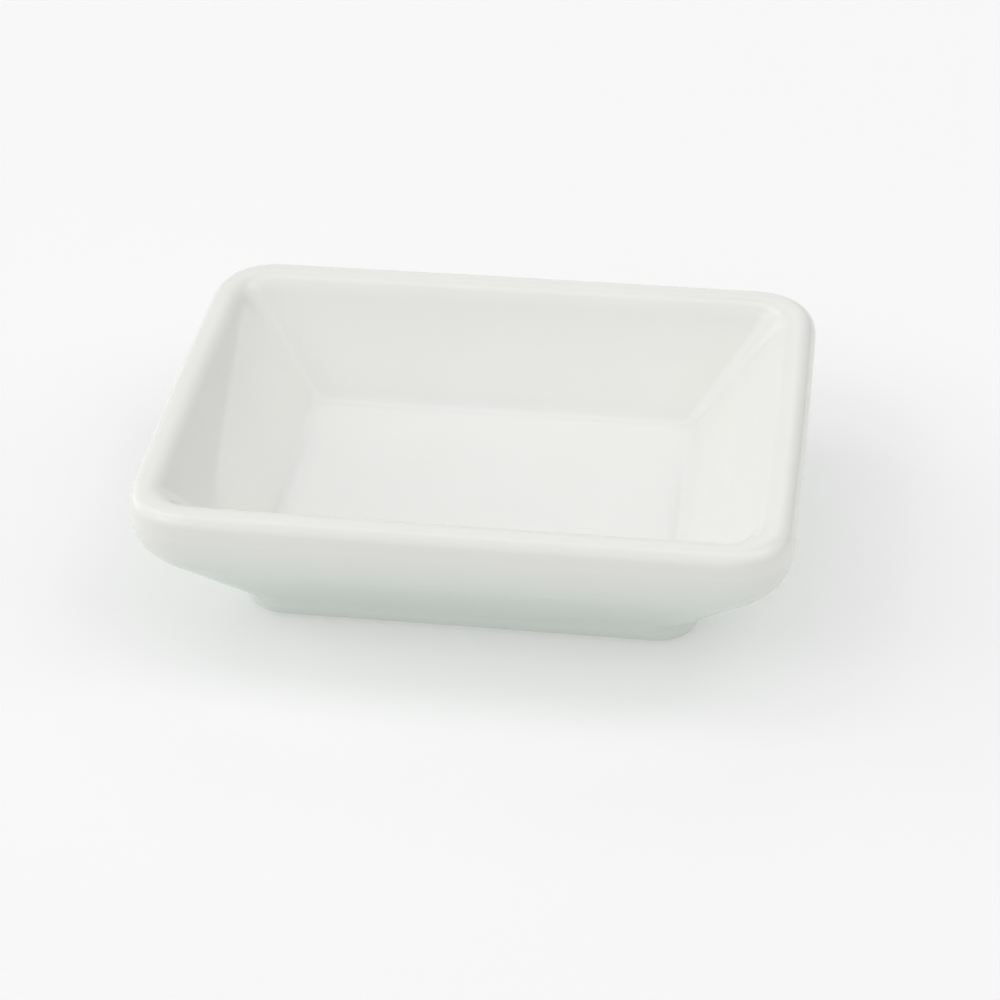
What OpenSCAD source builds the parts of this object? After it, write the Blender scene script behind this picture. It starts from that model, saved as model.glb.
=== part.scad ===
// Rectangular sauce dish: a small open dish of glazed porcelain with a rolled
// rim, sloping sides that meet in creases, a flat floor and a raised foot.
// Millimetres. The origin is on the table under the middle of the dish, X runs
// along its length and Z is up.
//
// The dish is one section carried around a rounded rectangle. Each point of the
// section is a distance in from the outermost rim (u) and a height (z). The
// glaze is the layer between the finished section and the fired body inside it.

/* [Overall] */
// Length over the rim
dish_l = 95; // [88:1:110]
// Width over the rim
dish_w = 70; // [64:1:82]
// Height from the table to the top of the rim
dish_h = 25.5; // [24.5:0.5:30]

/* [Rim] */
// Corner radius of the rim, seen from above
rim_corner_r = 9; // [7:0.5:12]
// Width of the lip on the ends, from its outer face to the top of the basin wall
lip_w = 3.9; // [3.6:0.1:4.6]
// Width of the lip on the long sides
lip_w_side = 5; // [4.4:0.1:5.4]
// Rounding of the lip's outer edge
lip_outer_r = 2.4; // [1.6:0.1:2.8]
// Rounding of the lip's inner edge on the ends
lip_inner_r = 3.1; // [2:0.1:4]
// Rounding of the lip's inner edge on the long sides
lip_inner_r_side = 3.8; // [2.4:0.1:4.4]

/* [Basin] */
// Height of the basin floor above the table
floor_z = 9.4; // [8.8:0.2:11]
// Distance from the end of the rim to the basin floor
floor_inset_x = 17.6; // [15.4:0.2:19]
// Distance from the side of the rim to the basin floor
floor_inset_y = 15.2; // [13.8:0.2:17]
// Rounding between the basin's walls and its floor
floor_r = 3.2; // [1.6:0.2:5]
// Corner radius of the basin near the lip, seen from above
basin_corner_r = 3.2; // [2.4:0.2:4.4]
// Corner radius of the basin floor, seen from above
floor_corner_r = 1.8; // [1.4:0.2:3.6]

/* [Outside] */
// Height of the corner that the belly's rounding is made from
belly_z = 17.7; // [16.5:0.1:18.7]
// Rounding of the belly below the lip
belly_r = 10; // [6:0.5:11]

/* [Foot] */
// Distance from the end of the rim to the foot
foot_inset_x = 12.3; // [11:0.1:13.4]
// Distance from the side of the rim to the foot
foot_inset_y = 10.2; // [9:0.1:11.4]
// Height of the foot
foot_h = 4; // [3.4:0.1:4.6]
// How far the foot's side leans in towards the table
foot_taper = 1.8; // [0.8:0.1:2.2]
// Corner radius of the foot, seen from above
foot_corner_r = 7.3; // [6.4:0.1:9]
// Hollow rounding between the foot and the belly
cove_r = 4.4; // [2:0.2:6]
// Rounding of the foot's lower edge
toe_r = 1.2; // [0.6:0.1:1.3]
// Width of the foot ring at the table
ring_w = 3.2; // [2.6:0.1:3.6]
// Depth of the hollow under the dish
well_depth = 3.4; // [2.6:0.2:3.8]

/* [Glaze] */
// Thickness of the glaze
glaze_t = 0.35; // [0.25:0.05:0.5]
// Height of the bare band that is wiped clean on the inside of the foot ring
bare_h = 1; // [0.8:0.1:1.3]

/* [Hidden] */

// Points on each plan corner, less one
corner_n = 6;
// How far the well's wall leans in towards its ceiling
well_draft = 1;
// Distance over which the rim's corner radius fades into the basin's
crease_fade = 3.5;
// The glaze thins to this share of its thickness at its edge
edge_share = 0.5;
// Points of the section on each rounding, less one
well_n = 4;
toe_n = 6;
cove_n = 4;
belly_n = 8;
lip_n = 6;
floor_n = 5;

// ---- The section ----

function unit(v) = v / norm(v);

// Points of the arc of radius r that rounds the corner b between a and c. The
// radius gives way where either side is too short for it.
function rounding(a, b, c, r, n) =
    let (d1 = unit(a - b), d2 = unit(c - b),
         half = acos(d1 * d2) / 2,
         t = min(r / tan(half), 0.62 * norm(a - b), 0.62 * norm(c - b)),
         rr = t * tan(half),
         mid = b + unit(d1 + d2) * (rr / sin(half)),
         s = b + d1 * t - mid,
         e = b + d2 * t - mid,
         a0 = atan2(s.y, s.x),
         turn = (atan2(e.y, e.x) - a0 + 540) % 360 - 180)
    [for (i = [0 : n]) mid + rr * [cos(a0 + turn * i / n), sin(a0 + turn * i / n)]];

// Corners of the section, from the ceiling of the well under the dish, out
// around the foot and the rim, and in to the basin floor
toe_u = foot_inset_x + foot_taper;
well_u = toe_u + ring_w;
w_in = [well_u + well_draft + 6, well_depth];
w_top = [well_u + well_draft, well_depth];
w_toe = [well_u, 0];
toe = [toe_u, 0];
cove = [foot_inset_x, foot_h];
belly = [0, belly_z];
lip_out = [0, dish_h];
lip_in = [lip_w, dish_h];
basin = [floor_inset_x, floor_z];
basin_in = [floor_inset_x + 8, floor_z];

// The glaze stops halfway around the foot's lower edge, and on the wall of the
// well, so the face that the dish stands on is bare
toe_pts = rounding(w_toe, toe, cove, toe_r, toe_n);
toe_mid = toe_n / 2;
edge_in = w_toe + (w_top - w_toe) * (bare_h / well_depth);

well_pts = concat(rounding(w_in, w_top, w_toe, 1.5, well_n), [edge_in]);
foot_in_pts = rounding(w_top, w_toe, toe, 0.6, 3);
foot_out_pts = [for (i = [0 : toe_mid - 1]) toe_pts[i]];
outside_pts = concat([for (i = [toe_mid : toe_n]) toe_pts[i]],
    rounding(toe, cove, belly, cove_r, cove_n),
    rounding(cove, belly, lip_out, belly_r, belly_n));
lip_pts = rounding(belly, lip_out, lip_in, lip_outer_r, lip_n);
// Lean of the basin's walls at the ends and along the sides. The lip's two
// roundings share its width, so the inner one gives way.
wall_h = dish_h - floor_z;
lean = atan2(wall_h, floor_inset_x - lip_w);
lean_side = atan2(wall_h, floor_inset_y - lip_w_side);
inner_r = min(lip_inner_r, 0.98 * (lip_w - lip_outer_r) / tan(lean / 2));
inner_r_side = min(lip_inner_r_side, 0.98 * (lip_w_side - lip_outer_r) / tan(lean_side / 2));

// Heights that the roundings take up. A side's are taller than an end's, so the
// section has points on the end wall where the side's roundings still turn.
fall = inner_r * (1 - cos(lean));
fall_side = inner_r_side * (1 - cos(lean_side));
rise = floor_r * (1 - cos(lean));
rise_side = floor_r * (1 - cos(lean_side));
wall_z = concat(
    [for (i = [1 : 2]) if (fall_side > fall + 0.2) dish_h - fall - (fall_side - fall) * i / 2],
    [for (z = [floor_z + rise_side]) if (rise_side > rise + 0.1) z]);
inside_pts = concat(
    rounding(lip_out, lip_in, basin, inner_r, lip_n),
    [for (z = wall_z) [lip_w + (dish_h - z) / tan(lean), z]],
    rounding(lip_in, basin, basin_in, floor_r, floor_n));

// Distance in from the long side, for a point that is u in from the end
function side_u_outside(u) = u <= foot_inset_x
    ? u * foot_inset_y / foot_inset_x
    : u - foot_inset_x + foot_inset_y;
// In the basin it follows from the height, because a side has roundings of its own
function side_u_inside(z) =
    let (down = max(0, dish_h - z), up = max(0, z - floor_z))
    down < fall_side
    ? lip_w_side - inner_r_side * tan(lean_side / 2) + sqrt(down * (2 * inner_r_side - down))
    : up < rise_side
    ? floor_inset_y + floor_r * tan(lean_side / 2) - sqrt(up * (2 * floor_r - up))
    : lip_w_side + down / tan(lean_side);

// Plan corner radius at a point of the section
function corner_outside(p) =
    p.x > foot_inset_x ? max(1, foot_corner_r - (p.x - foot_inset_x))
    : rim_corner_r + (foot_corner_r - rim_corner_r) * (p.x / foot_inset_x);
// The rim's wide corner fades into the basin's crease over the top of the wall
function crease(u) = basin_corner_r
    + (floor_corner_r - basin_corner_r) * (u - lip_w) / (floor_inset_x - lip_w);
function corner_inside(p) = crease(p.x)
    + (rim_corner_r - lip_outer_r - crease(lip_outer_r)) * exp((lip_outer_r - p.x) / crease_fade);

// The whole section in order, and where its parts begin
line = concat(well_pts, foot_in_pts, foot_out_pts, outside_pts, lip_pts, inside_pts);
k_foot_in = len(well_pts);
k_foot_out = k_foot_in + len(foot_in_pts);
k_outside = k_foot_out + len(foot_out_pts);
k_lip = k_outside + len(outside_pts);
k_inside = k_lip + len(lip_pts);
k_end = len(line) - 1;

// Outward normal of the section at point k
function facing(k) =
    let (t = unit((k == 0 ? w_top - w_in
                          : unit(line[k] - line[k - 1]))
                + (k == k_end ? unit(basin_in - basin)
                              : unit(line[k + 1] - line[k]))))
    [-t.y, t.x];

// The two flat ends of the section face straight down and straight up
function normal(k) = k == 0 ? [0, -1] : k == k_end ? [0, 1] : facing(k);

// ---- Rings ----

// Rounded rectangle, counter-clockwise from above
function rounded(hx, hy, r, z) = [
    for (q = [0 : 3], i = [0 : corner_n])
        let (a = 90 * (q + i / corner_n),
             sx = q == 0 || q == 3 ? 1 : -1,
             sy = q < 2 ? 1 : -1)
        [sx * (hx - r) + r * cos(a), sy * (hy - r) + r * sin(a), z]
];

// The ring through point k of the section, sunk by s under the finished surface
function ring_at(k, s = 0, drop = 0) =
    let (p = line[k], n = normal(k),
         side_u = k >= k_inside ? side_u_inside(p.y)
                : k >= k_lip ? p.x : side_u_outside(p.x),
         r = k >= k_inside ? corner_inside(p)
           : k >= k_lip ? rim_corner_r - p.x : corner_outside(p))
    rounded(dish_l / 2 - p.x + s * n.x,
            dish_w / 2 - side_u + s * n.x,
            r + s * n.x,
            p.y - s * n.y - drop);

// Thickness of the glaze at point k: nothing on the bare foot, thin at its edge
function depth(k) =
    k == k_outside || k == k_foot_in - 1 ? glaze_t * edge_share
    : k > k_outside || k < k_foot_in - 1 ? glaze_t
    : 0;

// Closed solid through a list of rings, with a flat face on each end ring
module loft(rings) {
    n = len(rings[0]);
    m = len(rings);
    points = [for (ring = rings, p = ring) p];
    sides = [for (j = [0 : m - 2], i = [0 : n - 1])
        let (a = j * n + i, b = j * n + (i + 1) % n) each
        [[a, a + n, b + n], [a, b + n, b]]];
    polyhedron(points,
        concat([[for (i = [0 : n - 1]) i]],
               sides,
               [[for (i = [n - 1 : -1 : 0]) (m - 1) * n + i]]),
        convexity = 6);
}

// ---- The pieces ----

// Fired one-piece body: basin, walls, rolled rim and foot ring
module porcelain_body() {
    below = 1;
    rings = concat(
        [for (k = [0 : k_foot_in - 1]) ring_at(k, depth(k))],
        [for (k = [k_foot_in - 1 : k_foot_out - 1]) ring_at(k)],
        [ring_at(k_foot_out - 1, 0, below), ring_at(k_foot_out, 0, below)],
        [for (k = [k_foot_out : k_outside]) ring_at(k)],
        [for (k = [k_outside : k_end]) ring_at(k, depth(k))]);
    color("#f0ede6")
        intersection() {
            loft(rings);
            // The foot ring is ground flat on the table plane
            translate([-dish_l, -dish_w, 0])
                cube([2 * dish_l, 2 * dish_w, 2 * dish_h]);
        }
}

// Glaze over the basin, the rim and the outside, down to the bare foot
module glaze_coat() {
    color("#eceeea")
        loft(concat(
            [for (k = [k_end : -1 : k_outside]) ring_at(k, depth(k))],
            [for (k = [k_outside : k_end]) ring_at(k)]));
}

// Glaze on the ceiling and wall of the hollow under the dish
module underside_glaze() {
    color("#e7eae6")
        loft(concat(
            [for (k = [0 : k_foot_in - 1]) ring_at(k)],
            [for (k = [k_foot_in - 1 : -1 : 0]) ring_at(k, depth(k))]));
}

porcelain_body();
glaze_coat();
underside_glaze();
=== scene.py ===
import math

import bpy
import numpy as np
from mathutils import Matrix, Vector


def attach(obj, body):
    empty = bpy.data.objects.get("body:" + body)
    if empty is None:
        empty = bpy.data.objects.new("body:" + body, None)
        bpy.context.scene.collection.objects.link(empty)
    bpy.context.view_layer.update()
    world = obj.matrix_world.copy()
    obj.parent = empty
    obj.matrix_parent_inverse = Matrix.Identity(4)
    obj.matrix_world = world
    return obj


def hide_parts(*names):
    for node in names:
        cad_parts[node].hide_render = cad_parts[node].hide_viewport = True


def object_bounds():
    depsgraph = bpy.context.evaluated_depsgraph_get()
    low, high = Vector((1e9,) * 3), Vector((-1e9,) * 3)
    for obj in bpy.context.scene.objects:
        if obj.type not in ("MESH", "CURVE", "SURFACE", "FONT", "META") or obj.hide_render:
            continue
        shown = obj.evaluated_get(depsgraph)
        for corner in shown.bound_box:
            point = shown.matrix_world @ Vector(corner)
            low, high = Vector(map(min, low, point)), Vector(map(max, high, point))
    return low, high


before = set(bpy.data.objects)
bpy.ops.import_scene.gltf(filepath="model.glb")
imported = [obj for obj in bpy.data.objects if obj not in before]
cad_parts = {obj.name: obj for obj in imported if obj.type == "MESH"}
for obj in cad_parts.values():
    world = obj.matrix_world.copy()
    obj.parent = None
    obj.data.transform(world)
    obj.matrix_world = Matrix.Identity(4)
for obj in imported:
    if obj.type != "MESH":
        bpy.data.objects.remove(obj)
cad_lo, cad_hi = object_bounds()

MM = 0.001

# ---------------------------------------------------------------- dimensions

DISH_L, DISH_W, DISH_H = (round(v / MM, 3) for v in (cad_hi - cad_lo))
RIM_CORNER_R = 9.0
LIP_W, LIP_W_SIDE = 3.9, 5.0
LIP_OUTER_R, LIP_INNER_R, LIP_INNER_R_SIDE = 2.4, 3.1, 3.8
BASIN_CORNER_R, CREASE_FADE = 3.2, 3.5
FLOOR_Z, FLOOR_INSET_X, FLOOR_INSET_Y = 9.4, 17.6, 15.2
FLOOR_R, FLOOR_CORNER_R = 3.2, 1.8
BELLY_Z, BELLY_R = 17.7, 10.0
FOOT_INSET_X, FOOT_INSET_Y = 12.3, 10.2
FOOT_H, FOOT_TAPER, FOOT_CORNER_R = 4.0, 1.8, 7.3
COVE_R, TOE_R = 4.4, 1.2
RING_W, WELL_DEPTH, WELL_DRAFT = 3.2, 3.4, 1.0
GLAZE_T, BARE_H = 0.35, 1.0

# Plan corners are eased into the sides: a superellipse of this power, wider than
# the plain radius by this share, passes through the same corner point
EASE_POWER, EASE_SHARE = 2.35, 1.147
# The basin was pressed a little off centre: the most it is out, at its floor and rim
OFF_X, OFF_Y = -0.4, -0.4
# Fired sides are a little full: the most they stand out, at the middle of the rim
BOW_END, BOW_SIDE = 0.35, 0.12

# Points around each ring: along the ends, along the sides and around a corner
N_END, N_SIDE, N_CORNER = 30, 44, 16

# ------------------------------------------------------------------- section


def unit(v):
    return v / np.linalg.norm(v)


def rounding(a, b, c, r, n):
    """Points of the arc of radius r that rounds the corner b between a and c."""
    a, b, c = (np.array(p, float) for p in (a, b, c))
    d1, d2 = unit(a - b), unit(c - b)
    half = math.acos(float(np.clip(d1 @ d2, -1, 1))) / 2
    t = min(
        r / math.tan(half),
        0.62 * np.linalg.norm(a - b),
        0.62 * np.linalg.norm(c - b),
    )
    rr = t * math.tan(half)
    mid = b + unit(d1 + d2) * (rr / math.sin(half))
    s, e = b + d1 * t - mid, b + d2 * t - mid
    a0 = math.atan2(s[1], s[0])
    turn = (math.atan2(e[1], e[0]) - a0 + 3 * math.pi) % (2 * math.pi) - math.pi
    return [
        mid + rr * np.array([math.cos(a0 + turn * i / n), math.sin(a0 + turn * i / n)])
        for i in range(n + 1)
    ]


def joined(runs, step=0.45):
    """Arcs joined by straights, with a point at least every step along a straight."""
    out = []
    for zone, run in runs:
        if out:
            a, b = out[-1][0], run[0]
            n = int(np.linalg.norm(b - a) / step)
            for i in range(1, n + 1):
                out.append((a + (b - a) * i / (n + 1), zone))
        out.extend((np.array(p, float), zone) for p in run)
    keep = [out[0]]
    for p, zone in out[1:]:
        if np.linalg.norm(p - keep[-1][0]) > 1e-4:
            keep.append((p, zone))
    return np.array([p for p, _ in keep]), [z for _, z in keep]


TOE_U = FOOT_INSET_X + FOOT_TAPER
WELL_U = TOE_U + RING_W
w_in = (WELL_U + WELL_DRAFT + 6, WELL_DEPTH)
w_top = (WELL_U + WELL_DRAFT, WELL_DEPTH)
w_toe = (WELL_U, 0.0)
toe = (TOE_U, 0.0)
cove = (FOOT_INSET_X, FOOT_H)
belly = (0.0, BELLY_Z)
lip_out = (0.0, DISH_H)
lip_in = (LIP_W, DISH_H)
basin = (FLOOR_INSET_X, FLOOR_Z)
basin_in = (FLOOR_INSET_X + 8, FLOOR_Z)

TOE_N = 20
toe_arc = rounding(w_toe, toe, cove, TOE_R, TOE_N)
edge_in = np.array(w_toe) + (np.array(w_top) - np.array(w_toe)) * (BARE_H / WELL_DEPTH)

# The finished outside, rim and basin, from the edge of the glaze on the foot
coat_line, coat_zone = joined(
    [
        ("out", toe_arc[TOE_N // 2 :]),
        ("out", rounding(toe, cove, belly, COVE_R, 12)),
        ("out", rounding(cove, belly, lip_out, BELLY_R, 28)),
        ("lip", rounding(belly, lip_out, lip_in, LIP_OUTER_R, 24)),
        ("in", rounding(lip_out, lip_in, basin, LIP_INNER_R, 18)),
        ("in", rounding(lip_in, basin, basin_in, FLOOR_R, 18)),
    ]
)
# The bare foot ring, from the glaze edge in the well to the glaze edge outside
foot_line, foot_zone = joined(
    [
        ("out", [edge_in]),
        ("out", rounding(w_top, w_toe, toe, 0.6, 8)),
        ("out", toe_arc[: TOE_N // 2 + 1]),
    ],
    0.3,
)
# The well under the dish, from its ceiling down to the glaze edge
well_line, well_zone = joined(
    [("out", rounding(w_in, w_top, w_toe, 1.5, 12)), ("out", [edge_in])], 0.5
)


def normals(line, first=None, last=None):
    """Outward normals of a section line, from the directions to its neighbours."""
    d = np.diff(line, axis=0)
    d /= np.linalg.norm(d, axis=1)[:, None]
    t = np.vstack([d[:1], d[:-1] + d[1:], d[-1:]])
    t /= np.linalg.norm(t, axis=1)[:, None]
    n = np.column_stack([-t[:, 1], t[:, 0]])
    if first is not None:
        n[0] = first
    if last is not None:
        n[-1] = last
    return n


WALL_H = DISH_H - FLOOR_Z
LEAN_SIDE = math.atan2(WALL_H, FLOOR_INSET_Y - LIP_W_SIDE)
FALL_SIDE = LIP_INNER_R_SIDE * (1 - math.cos(LEAN_SIDE))
RISE_SIDE = FLOOR_R * (1 - math.cos(LEAN_SIDE))


def side_u(u, z, zone):
    """Distance in from the long side, for a point that is u in from the end. In the
    basin it follows from the height, because a side has roundings of its own."""
    if zone == "lip":
        return u
    if zone == "out":
        if u <= FOOT_INSET_X:
            return u * FOOT_INSET_Y / FOOT_INSET_X
        return u - FOOT_INSET_X + FOOT_INSET_Y
    down, rise = max(0.0, DISH_H - z), max(0.0, z - FLOOR_Z)
    bend = math.tan(LEAN_SIDE / 2)
    if down < FALL_SIDE:
        return LIP_W_SIDE - LIP_INNER_R_SIDE * bend + math.sqrt(down * (2 * LIP_INNER_R_SIDE - down))
    if rise < RISE_SIDE:
        return FLOOR_INSET_Y + FLOOR_R * bend - math.sqrt(rise * (2 * FLOOR_R - rise))
    return LIP_W_SIDE + down / math.tan(LEAN_SIDE)


def crease(u):
    return BASIN_CORNER_R + (FLOOR_CORNER_R - BASIN_CORNER_R) * (u - LIP_W) / (FLOOR_INSET_X - LIP_W)


def corner_r(u, zone):
    """Plan corner radius at a point of the section. Inside, the rim's wide corner
    fades into the basin's crease over the top of the wall."""
    if zone == "lip":
        return RIM_CORNER_R - u
    if zone == "out":
        if u > FOOT_INSET_X:
            return max(1.0, FOOT_CORNER_R - (u - FOOT_INSET_X))
        return RIM_CORNER_R + (FOOT_CORNER_R - RIM_CORNER_R) * u / FOOT_INSET_X
    wide = RIM_CORNER_R - LIP_OUTER_R - crease(LIP_OUTER_R)
    return crease(u) + wide * math.exp((LIP_OUTER_R - u) / CREASE_FADE)


def off_centre(z):
    """How far the basin is off centre at a height."""
    down = min(max((DISH_H - z) / WALL_H, 0.0), 1.0)
    return np.array([OFF_X * down, OFF_Y, 0.0])


# --------------------------------------------------------------------- rings


def ring(hx, hy, r, z):
    """Rounded rectangle of points, counter-clockwise from the middle of +X."""
    r = min(r * EASE_SHARE, 0.96 * hx, 0.96 * hy)
    full = np.clip(z / BELLY_Z, 0, 1) ** 2
    a = np.linspace(0, math.pi / 2, N_CORNER + 1)
    ca, sa = (
        r * np.cos(a).clip(0) ** (2 / EASE_POWER),
        r * np.sin(a).clip(0) ** (2 / EASE_POWER),
    )
    ex, ey = hx - r, hy - r
    quarter = [(hx, ey * i / (N_END // 2)) for i in range(N_END // 2)]
    quarter += [(ex + x, ey + y) for x, y in zip(ca, sa)]
    quarter += [(ex * (1 - i / (N_SIDE // 2)), hy) for i in range(1, N_SIDE // 2 + 1)]
    q = np.array(quarter)
    left = (q * (-1, 1))[::-1][1:]
    upper = np.vstack([q, left])
    lower = (upper * (1, -1))[::-1][1:-1]
    p = np.vstack([upper, lower])
    x, y = p[:, 0].copy(), p[:, 1].copy()
    p[:, 0] += BOW_END * full * np.sign(x) * (np.abs(x) / hx) ** 3 * (1 - (y / hy) ** 2)
    p[:, 1] += BOW_SIDE * full * np.sign(y) * (np.abs(y) / hy) ** 3 * (1 - (x / hx) ** 2)
    return np.column_stack([p, np.full(len(p), z)])


def rings_of(line, zones, nrm, sunk=0.0):
    """Rings through a section line, sunk under the finished surface."""
    sunk = np.broadcast_to(sunk, len(line))
    out = []
    for (u, z), zone, n, s in zip(line, zones, nrm, sunk):
        p = ring(
            DISH_L / 2 - u + s * n[0],
            DISH_W / 2 - side_u(u, z, zone) + s * n[0],
            corner_r(u, zone) + s * n[0],
            z - s * n[1],
        )
        out.append(p + off_centre(z) if zone == "in" else p)
    return np.array(out)


def flat_rings(start, zone, z, step=1.1, dip=0.0):
    """Rings that close a flat floor or ceiling, from a point of the section to the middle line."""
    hx, hy = DISH_L / 2 - start, DISH_W / 2 - side_u(start, z, zone)
    r = corner_r(start, zone)
    n = int((hy - 0.5) / step)
    out = []
    for i in range(1, n + 1):
        d = (hy - 0.5) * i / n
        p = ring(hx - d, hy - d, max(0.45, r - d * 0.35), z)
        p[:, 2] += dip * (1 - (p[:, 0] / hx) ** 2) * (1 - (p[:, 1] / hy) ** 2)
        out.append(p + off_centre(FLOOR_Z) if zone == "in" else p)
    return np.array(out)


def grid_normals(g):
    """Unit normals of a grid of rings, closed around each ring."""
    along = np.gradient(g, axis=0)
    around = np.roll(g, -1, axis=1) - np.roll(g, 1, axis=1)
    n = np.cross(around, along)
    return n / np.maximum(np.linalg.norm(n, axis=2), 1e-12)[:, :, None]


def waves(p, seed, lengths, amount):
    """Smooth uneven height at points p, in millimetres, from waves of a few lengths."""
    rng = np.random.RandomState(seed)
    out = np.zeros(p.shape[:-1])
    for length in lengths:
        for _ in range(5):
            k = unit(rng.normal(size=3)) * 2 * math.pi / (length * rng.uniform(0.8, 1.25))
            out += np.sin(p @ k + rng.uniform(0, 2 * math.pi)) * length / max(lengths)
    return amount * out / (len(lengths) * 2.2)


def solid(name, rings, **shares):
    """Closed mesh through rings of points in millimetres, with both ends drawn shut.
    Each of the shares is a number for every point, kept under its own name."""
    m, n = rings.shape[:2]
    verts = (rings.reshape(-1, 3) * MM).tolist()
    faces = []
    for k in range(m - 1):
        for i in range(n):
            j = (i + 1) % n
            faces.append((k * n + i, k * n + j, (k + 1) * n + j, (k + 1) * n + i))

    def cap(base, flip):
        found = [(0, 1, n - 1), (n // 2 - 1, n // 2, n // 2 + 1)]
        found += [(i, i + 1, n - i - 1, n - i) for i in range(1, n // 2 - 1)]
        for f in found:
            f = tuple(base + i for i in f)
            faces.append(f[::-1] if flip else f)

    cap(0, True)
    cap((m - 1) * n, False)
    mesh = bpy.data.meshes.new(name)
    mesh.from_pydata(verts, [], faces)
    mesh.polygons.foreach_set("use_smooth", [True] * len(mesh.polygons))
    for label, values in shares.items():
        layer = mesh.attributes.new(label, "FLOAT", "POINT")
        layer.data.foreach_set("value", values.reshape(-1).astype(np.float32))
    mesh.validate()
    mesh.update()
    obj = bpy.data.objects.new(name, mesh)
    bpy.context.scene.collection.objects.link(obj)
    return obj


# -------------------------------------------------------------------- pieces

coat_n = normals(coat_line, last=(0, 1))
well_n = normals(well_line, first=(0, -1))
foot_n = normals(foot_line)

floor_start = coat_line[-1][0]
well_start = well_line[0][0]
FLOOR_DIP = -0.12


def meniscus(line, from_end):
    """How far the glaze surface sinks at its rounded edge, nearly to the body."""
    pts = line[::-1] if from_end else line
    d = np.concatenate([[0], np.cumsum(np.linalg.norm(np.diff(pts, axis=0), axis=1))])
    w = 0.32
    t = np.clip(1 - d / w, 0, 1)
    s = 0.94 * GLAZE_T * (1 - np.sqrt(1 - t**2))
    return s[::-1] if from_end else s


def wavy(g, seed, amount=0.035):
    return g + grid_normals(g) * waves(g, seed, (9.0, 17.0, 31.0), amount)[:, :, None]


# Glaze over the basin, rim and outside
coat_top = np.concatenate(
    [
        rings_of(coat_line, coat_zone, coat_n, meniscus(coat_line, False)),
        flat_rings(floor_start, "in", FLOOR_Z, dip=FLOOR_DIP),
    ]
)
coat_under = np.concatenate(
    [
        rings_of(coat_line, coat_zone, coat_n, GLAZE_T),
        flat_rings(floor_start, "in", FLOOR_Z - GLAZE_T, dip=FLOOR_DIP),
    ]
)
coat_wave = grid_normals(coat_top) * waves(coat_top, 7, (9.0, 17.0, 31.0), 0.035)[:, :, None]
coat_top = coat_top + coat_wave
coat_under = coat_under + coat_wave


def hollows(g):
    """From 0 to 1, how hollow a grid of rings is at each point, where glaze runs together."""
    n = grid_normals(g)
    mean = np.zeros(g.shape[:2])
    for axis, pad in ((0, False), (1, True)):
        for shift in (1, -1):
            q, w = np.roll(g, shift, axis), np.roll(n, shift, axis)
            dist = np.linalg.norm(q - g, axis=2)
            bend = ((q - g) * n).sum(2) / np.maximum(dist, 1e-6) ** 2
            if not pad:
                bend[0 if shift == 1 else -1] = 0
            mean += bend
    mean = np.clip(mean * 1.1, 0, 1)
    for _ in range(6):
        mean = (
            mean
            + np.roll(mean, 1, 1)
            + np.roll(mean, -1, 1)
            + np.vstack([mean[:1], mean[:-1]])
            + np.vstack([mean[1:], mean[-1:]])
        ) / 5
    return mean


def eased(x):
    x = np.clip(x, 0, 1)
    return x * x * (3 - 2 * x)


# Where the glaze has run together in hollows, and where it has run down outside; the run down outside also carries
# painted shade that darkens the lower outside
pool_top = hollows(coat_top)
outside = np.zeros(len(coat_top))
outside[: len(coat_line)] = [zone == "out" for zone in coat_zone]
height = coat_top[:, :, 2]
run_and_shade_top = outside[:, None] * (eased((24.3 - height) / 13.6) + eased((6.5 - height) / 4.5)) / 2
# Painted shade: the white is darkened outside below the top of the rim, most just under it
below = np.zeros(len(coat_top))
below[: len(coat_line)] = [zone != "in" for zone in coat_zone]
painted_shade_top = below[:, None] * eased((25.47 - height) / 1.1) * (1 - 0.6 * eased((22.0 - height) / 7.0))
glaze = solid(
    "dish_glaze_coat",
    np.concatenate([coat_under[::-1], coat_top]),
    glaze_pool=np.concatenate([pool_top[::-1], pool_top]),
    glaze_run=np.concatenate([run_and_shade_top[::-1], run_and_shade_top]),
    glaze_dull=np.concatenate([painted_shade_top[::-1], painted_shade_top]),
)

# Glaze in the well under the dish
well_top = np.concatenate(
    [
        flat_rings(well_start, "out", WELL_DEPTH, dip=0.06)[::-1],
        rings_of(well_line, well_zone, well_n, meniscus(well_line, True)),
    ]
)
well_under = np.concatenate(
    [
        flat_rings(well_start, "out", WELL_DEPTH + GLAZE_T, dip=0.06)[::-1],
        rings_of(well_line, well_zone, well_n, GLAZE_T),
    ]
)
well_wave = grid_normals(well_top) * waves(well_top, 11, (7.0, 13.0, 24.0), 0.05)[:, :, None]
well_top = well_top + well_wave
well_under = well_under + well_wave
well_pool = hollows(well_top)
well_glaze = solid(
    "dish_underside_glaze",
    np.concatenate([well_top, well_under[::-1]]),
    glaze_pool=np.concatenate([well_pool, well_pool[::-1]]),
    # The well under the dish takes the greener run glaze, darkened as painted shade
    glaze_run=np.full(2 * well_pool.size, 0.6),
    glaze_dull=np.zeros(2 * well_pool.size),
)

# Porcelain body: under the glaze everywhere, and bare on the foot ring. It is
# flush with the table at the ring and sinks to the glaze's underside at its edges.
foot_sunk = GLAZE_T * np.clip((foot_line[:, 1] - 0.02) / 0.15, 0, 1)
body = solid(
    "dish_porcelain_body",
    np.concatenate(
        [
            well_under,
            rings_of(foot_line, foot_zone, foot_n, foot_sunk)[1:-1],
            coat_under,
        ]
    ),
)

for piece, node, slot_name in (
    (glaze, "glaze_coat", "glaze"),
    (well_glaze, "underside_glaze", "glaze"),
    (body, "porcelain_body", "porcelain"),
):
    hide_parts(node)
    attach(piece, "root")

# ----------------------------------------------------------------- materials


def new_material(name):
    mat = bpy.data.materials.new(name)
    mat.use_nodes = True
    tree = mat.node_tree
    return mat, tree, tree.nodes["Principled BSDF"]


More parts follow.
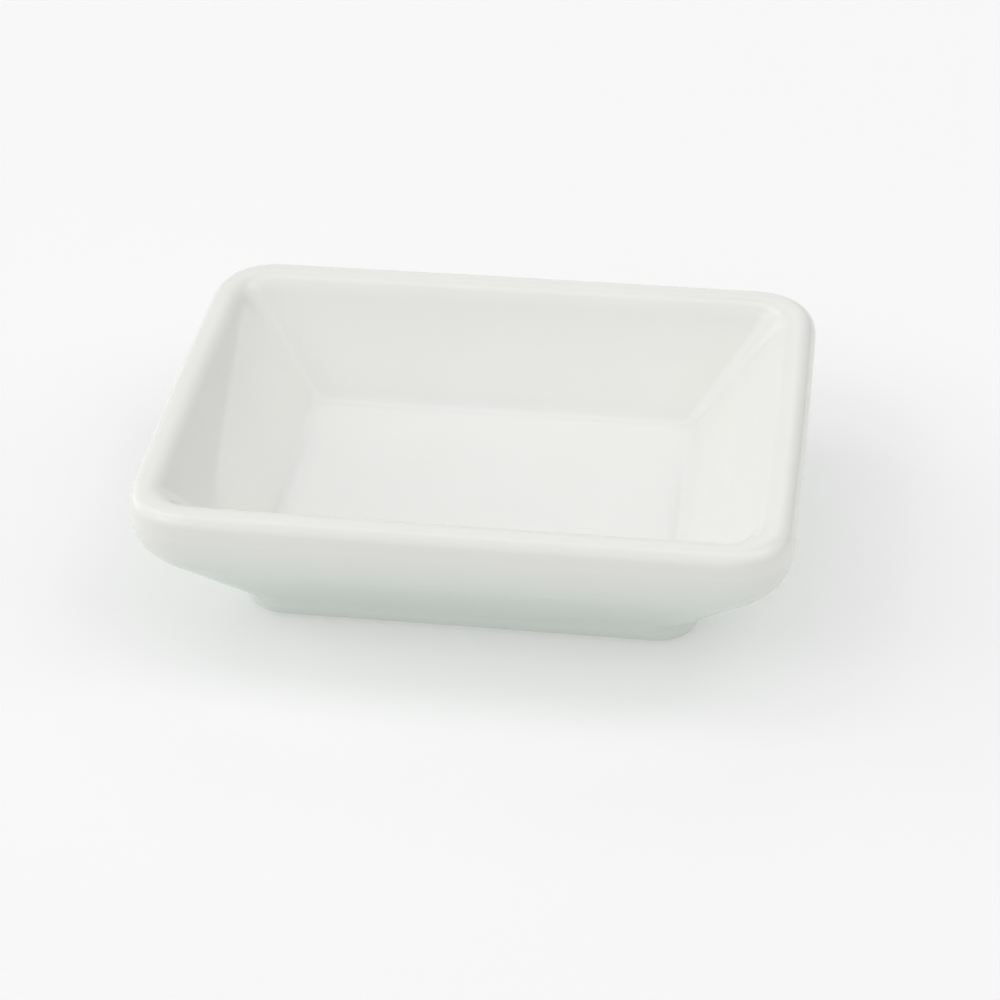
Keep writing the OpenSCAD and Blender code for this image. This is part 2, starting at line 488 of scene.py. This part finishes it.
def add(tree, kind, inputs=None, **settings):
    node = tree.nodes.new(kind)
    for k, v in settings.items():
        setattr(node, k, v)
    for k, v in (inputs or {}).items():
        if isinstance(v, bpy.types.NodeSocket):
            tree.links.new(v, node.inputs[k])
        else:
            node.inputs[k].default_value = v
    return node


def mix_colour(tree, share, a, b, blend="MIX"):
    node = tree.nodes.new("ShaderNodeMix")
    node.data_type, node.blend_type = "RGBA", blend
    for i, v in ((0, share), (6, a), (7, b)):
        if isinstance(v, bpy.types.NodeSocket):
            tree.links.new(v, node.inputs[i])
        else:
            node.inputs[i].default_value = v
    return node.outputs[2]


def remap(tree, value, lo, hi, to_lo, to_hi):
    node = add(
        tree,
        "ShaderNodeMapRange",
        {"Value": value, "From Min": lo, "From Max": hi, "To Min": to_lo, "To Max": to_hi},
    )
    node.clamp = True
    return node.outputs["Result"]


def glaze_material():
    mat, tree, shader = new_material("white_glaze")
    place = tree.nodes.new("ShaderNodeTexCoord").outputs["Object"]
    pool = add(tree, "ShaderNodeAttribute", attribute_name="glaze_pool").outputs["Fac"]
    # Cloudy unevenness of the white under the glaze
    cloud = add(
        tree,
        "ShaderNodeTexNoise",
        {"Vector": place, "Scale": 45.0, "Detail": 3.0, "Roughness": 0.55},
    ).outputs["Fac"]
    white = mix_colour(
        tree,
        remap(tree, cloud, 0.3, 0.7, 0.0, 1.0),
        (0.893, 0.898, 0.862, 1),
        (0.908, 0.912, 0.879, 1),
    )
    # A cooler white on the basin's floor, and painted shade that darkens the white outside below the rim
    run = add(tree, "ShaderNodeAttribute", attribute_name="glaze_run").outputs["Fac"]
    height = add(tree, "ShaderNodeSeparateXYZ", {"Vector": place}).outputs["Z"]
    low = remap(tree, height, 0.0096, 0.0120, 1.0, 0.0)
    white = mix_colour(tree, low, white, (0.986, 0.985, 1.0, 1), "MULTIPLY")
    dull = add(tree, "ShaderNodeAttribute", attribute_name="glaze_dull").outputs["Fac"]
    white = mix_colour(tree, dull, white, (0.950, 0.951, 0.944, 1), "MULTIPLY")
    # Thicker, greener glaze where it has run together; where it has run down the outside it is also darkened as
    # painted shade
    pooled = mix_colour(tree, remap(tree, pool, 0.05, 0.6, 0.0, 0.15), white, (0.82, 0.86, 0.83, 1))
    pooled = mix_colour(tree, remap(tree, run, 0.0, 0.5, 0.0, 1.0), pooled, (0.664, 0.729, 0.666, 1))
    pooled = mix_colour(tree, remap(tree, run, 0.5, 1.0, 0.0, 1.0), pooled, (0.765, 0.82, 0.772, 1))
    tree.links.new(pooled, shader.inputs["Base Color"])
    # Gloss with faint matte clouds
    haze = add(
        tree,
        "ShaderNodeTexNoise",
        {"Vector": place, "Scale": 160.0, "Detail": 4.0, "Roughness": 0.6},
    ).outputs["Fac"]
    tree.links.new(remap(tree, haze, 0.3, 0.75, 0.02, 0.045), shader.inputs["Roughness"])
    # Orange-peel ripple of fired glaze
    peel = add(
        tree,
        "ShaderNodeTexNoise",
        {"Vector": place, "Scale": 420.0, "Detail": 2.0, "Roughness": 0.45},
    ).outputs["Fac"]
    bump = add(tree, "ShaderNodeBump", {"Height": peel, "Strength": 0.06, "Distance": 0.0004})
    tree.links.new(bump.outputs["Normal"], shader.inputs["Normal"])
    shader.inputs["IOR"].default_value = 1.5
    return mat


def bare_material():
    mat, tree, shader = new_material("bare_porcelain")
    place = tree.nodes.new("ShaderNodeTexCoord").outputs["Object"]
    cloud = add(
        tree,
        "ShaderNodeTexNoise",
        {"Vector": place, "Scale": 130.0, "Detail": 5.0, "Roughness": 0.6},
    ).outputs["Fac"]
    clay = mix_colour(
        tree,
        remap(tree, cloud, 0.3, 0.7, 0.0, 1.0),
        (0.80, 0.785, 0.735, 1),
        (0.86, 0.85, 0.81, 1),
    )
    # Grey rub marks on the ring that the dish stands on
    rub = add(
        tree,
        "ShaderNodeTexNoise",
        {"Vector": place, "Scale": 520.0, "Detail": 6.0, "Roughness": 0.7},
    ).outputs["Fac"]
    height = add(tree, "ShaderNodeSeparateXYZ", {"Vector": place}).outputs["Z"]
    low = remap(tree, height, 0.0001, 0.0006, 1.0, 0.0)
    worn = add(
        tree,
        "ShaderNodeMath",
        {0: low, 1: remap(tree, rub, 0.5, 0.7, 0.0, 0.6)},
        operation="MULTIPLY",
    ).outputs[0]
    tree.links.new(mix_colour(tree, worn, clay, (0.56, 0.55, 0.53, 1)), shader.inputs["Base Color"])
    grain = add(
        tree,
        "ShaderNodeTexNoise",
        {"Vector": place, "Scale": 2600.0, "Detail": 3.0, "Roughness": 0.6},
    ).outputs["Fac"]
    tree.links.new(remap(tree, grain, 0.3, 0.7, 0.55, 0.75), shader.inputs["Roughness"])
    bump = add(tree, "ShaderNodeBump", {"Height": grain, "Strength": 0.25, "Distance": 0.0001})
    tree.links.new(bump.outputs["Normal"], shader.inputs["Normal"])
    return mat


glossy = glaze_material()
for piece, mat in ((glaze, glossy), (well_glaze, glossy), (body, bare_material())):
    piece.data.materials.clear()
    piece.data.materials.append(mat)

# --------------------------------------------------------------------- stage

floor_mesh = bpy.data.meshes.new("floor")
half = 12.0
floor_mesh.from_pydata(
    [(-half, -half, -0.00005), (half, -half, -0.00005), (half, half, -0.00005), (-half, half, -0.00005)],
    [],
    [(0, 1, 2, 3)],
)
floor = bpy.data.objects.new("floor", floor_mesh)
bpy.context.scene.collection.objects.link(floor)
floor_mat, floor_tree, floor_shader = new_material("pale_floor")
floor_shader.inputs["Base Color"].default_value = (0.70, 0.70, 0.70, 1)
floor_shader.inputs["Roughness"].default_value = 0.9
floor_shader.inputs["Specular IOR Level"].default_value = 0.1
floor_shader.inputs["Emission Color"].default_value = (1, 1, 1, 1)
# The floor is lit from below, more so away from the dish
spot = add(floor_tree, "ShaderNodeTexCoord").outputs["Object"]
spread = add(floor_tree, "ShaderNodeVectorMath", {0: spot, 1: (1 / 0.0475, 1 / 0.035, 0)}, operation="MULTIPLY")
spread = add(floor_tree, "ShaderNodeVectorMath", {0: spread.outputs["Vector"]}, operation="LENGTH").outputs["Value"]
glow = add(
    floor_tree,
    "ShaderNodeMapRange",
    {"Value": spread, "From Min": 1.1, "From Max": 2.3, "To Min": 0.26, "To Max": 0.29},
    interpolation_type="SMOOTHSTEP",
)
floor_tree.links.new(glow.outputs["Result"], floor_shader.inputs["Emission Strength"])
floor_mesh.materials.append(floor_mat)


def softbox(name, place, aim, size, watts, colour=(1, 1, 1)):
    data = bpy.data.lights.new(name, "AREA")
    data.shape = "RECTANGLE"
    data.size, data.size_y = size
    data.energy = watts
    data.color = colour
    obj = bpy.data.objects.new(name, data)
    bpy.context.scene.collection.objects.link(obj)
    obj.location = place
    obj.rotation_mode = "QUATERNION"
    obj.rotation_quaternion = (Vector(aim) - Vector(place)).to_track_quat("-Z", "Y")
    return obj


# Softboxes around the dish: direction, size at arm's length and radiance
SOFTBOXES = (
    ("overhead", (0.0, 0.19, 0.98), (1.4, 0.39), 1.20),
    ("overhead_front", (0.0, -0.19, 0.98), (1.4, 0.39), 0.10),
    ("back", (0.0, 0.743, 0.669), (1.4, 0.263), 0.23),
    ("front_left", (-0.6, -0.5, 0.75), (0.6, 0.5), 1.06),
    ("left_high", (-0.5, 0.0, 0.866), (0.9, 0.45), 0.56),
    ("left", (-0.85, 0.0, 0.62), (1.0, 0.9), 0.67),
    ("left_low", (-0.9, 0.0, 0.5), (0.8, 0.5), 0.22),
    ("right_high", (0.5, 0.0, 0.866), (0.9, 0.45), 0.48),
    ("right", (0.85, 0.05, 0.62), (1.0, 0.9), 0.80),
)
# They stand this many times further off, and are larger by as much
FAR = 3.4
for label, place, size, radiance in SOFTBOXES:
    place, size = [v * FAR for v in place], [v * FAR for v in size]
    softbox(label, place, (0, 0, 0.01), size, math.pi * size[0] * size[1] * radiance)

# Soft patches of light on the walls around the dish: azimuth from the front to
# the right, elevation, radiance in the middle and how narrow the patch is
PATCHES = (
    (0, 56, 0.38, 9.0),
    (0, 30, 0.80, 9.0),
    (60, 56, 0.70, 9.0),
    (135, 30, 0.10, 9.0),
    (182, 12, 0.70, 9.0),
    (190, 22, 0.16, 40.0),
    (190, 38, 0.18, 40.0),
    (190, 54, 0.44, 40.0),
    (240, 5, 1.70, 14.0),
    (270, 5, 1.00, 14.0),
    (315, 30, 0.44, 9.0),
)

world = bpy.data.worlds.new("light_tent")
bpy.context.scene.world = world
world.use_nodes = True
tent = world.node_tree
ray = tent.nodes.new("ShaderNodeTexCoord").outputs["Generated"]
total = None
for azimuth, elevation, radiance, narrow in PATCHES:
    a, e = math.radians(azimuth), math.radians(elevation)
    aim = (math.cos(e) * math.sin(a), -math.cos(e) * math.cos(a), math.sin(e))
    near = add(tent, "ShaderNodeVectorMath", {0: ray, 1: aim}, operation="DOT_PRODUCT").outputs["Value"]
    near = add(tent, "ShaderNodeMath", {0: near, 1: 0.0}, operation="MAXIMUM").outputs[0]
    near = add(tent, "ShaderNodeMath", {0: near, 1: narrow}, operation="POWER").outputs[0]
    lit = add(tent, "ShaderNodeMath", {0: near, 1: radiance}, operation="MULTIPLY").outputs[0]
    total = lit if total is None else add(tent, "ShaderNodeMath", {0: total, 1: lit}, operation="ADD").outputs[0]
sky = tent.nodes["Background"]
sky.inputs["Color"].default_value = (1, 1, 1, 1)
tent.links.new(total, sky.inputs["Strength"])

# -------------------------------------------------------------------- camera

AZIMUTH, ELEVATION, ROLL = (math.radians(v) for v in (9.54, 37.0, -1.86))
DISTANCE, TARGET = 0.4045, Vector((0.00178, 0.0, 0.00652))
F_PIXELS = 2650.0

back = Vector(
    (
        math.sin(AZIMUTH) * math.cos(ELEVATION),
        -math.cos(AZIMUTH) * math.cos(ELEVATION),
        math.sin(ELEVATION),
    )
)
right = Vector((math.cos(AZIMUTH), math.sin(AZIMUTH), 0))
up = back.cross(right)
cam_right = right * math.cos(ROLL) + up * math.sin(ROLL)
cam_up = up * math.cos(ROLL) - right * math.sin(ROLL)
camera_data = bpy.data.cameras.new("camera")
camera_data.sensor_width = 36.0
camera_data.lens = F_PIXELS * 36.0 / 1000.0
camera_data.clip_start, camera_data.clip_end = 0.01, 20.0
camera = bpy.data.objects.new("camera", camera_data)
bpy.context.scene.collection.objects.link(camera)
camera.matrix_world = Matrix.Translation(TARGET + back * DISTANCE) @ Matrix(
    (cam_right, cam_up, back)
).transposed().to_4x4()
bpy.context.scene.camera = camera

bpy.context.scene.view_settings.view_transform = "Standard"
bpy.context.scene.view_settings.look = "None"

# ---------------------------------------------------------------------- update

bpy.context.view_layer.update()
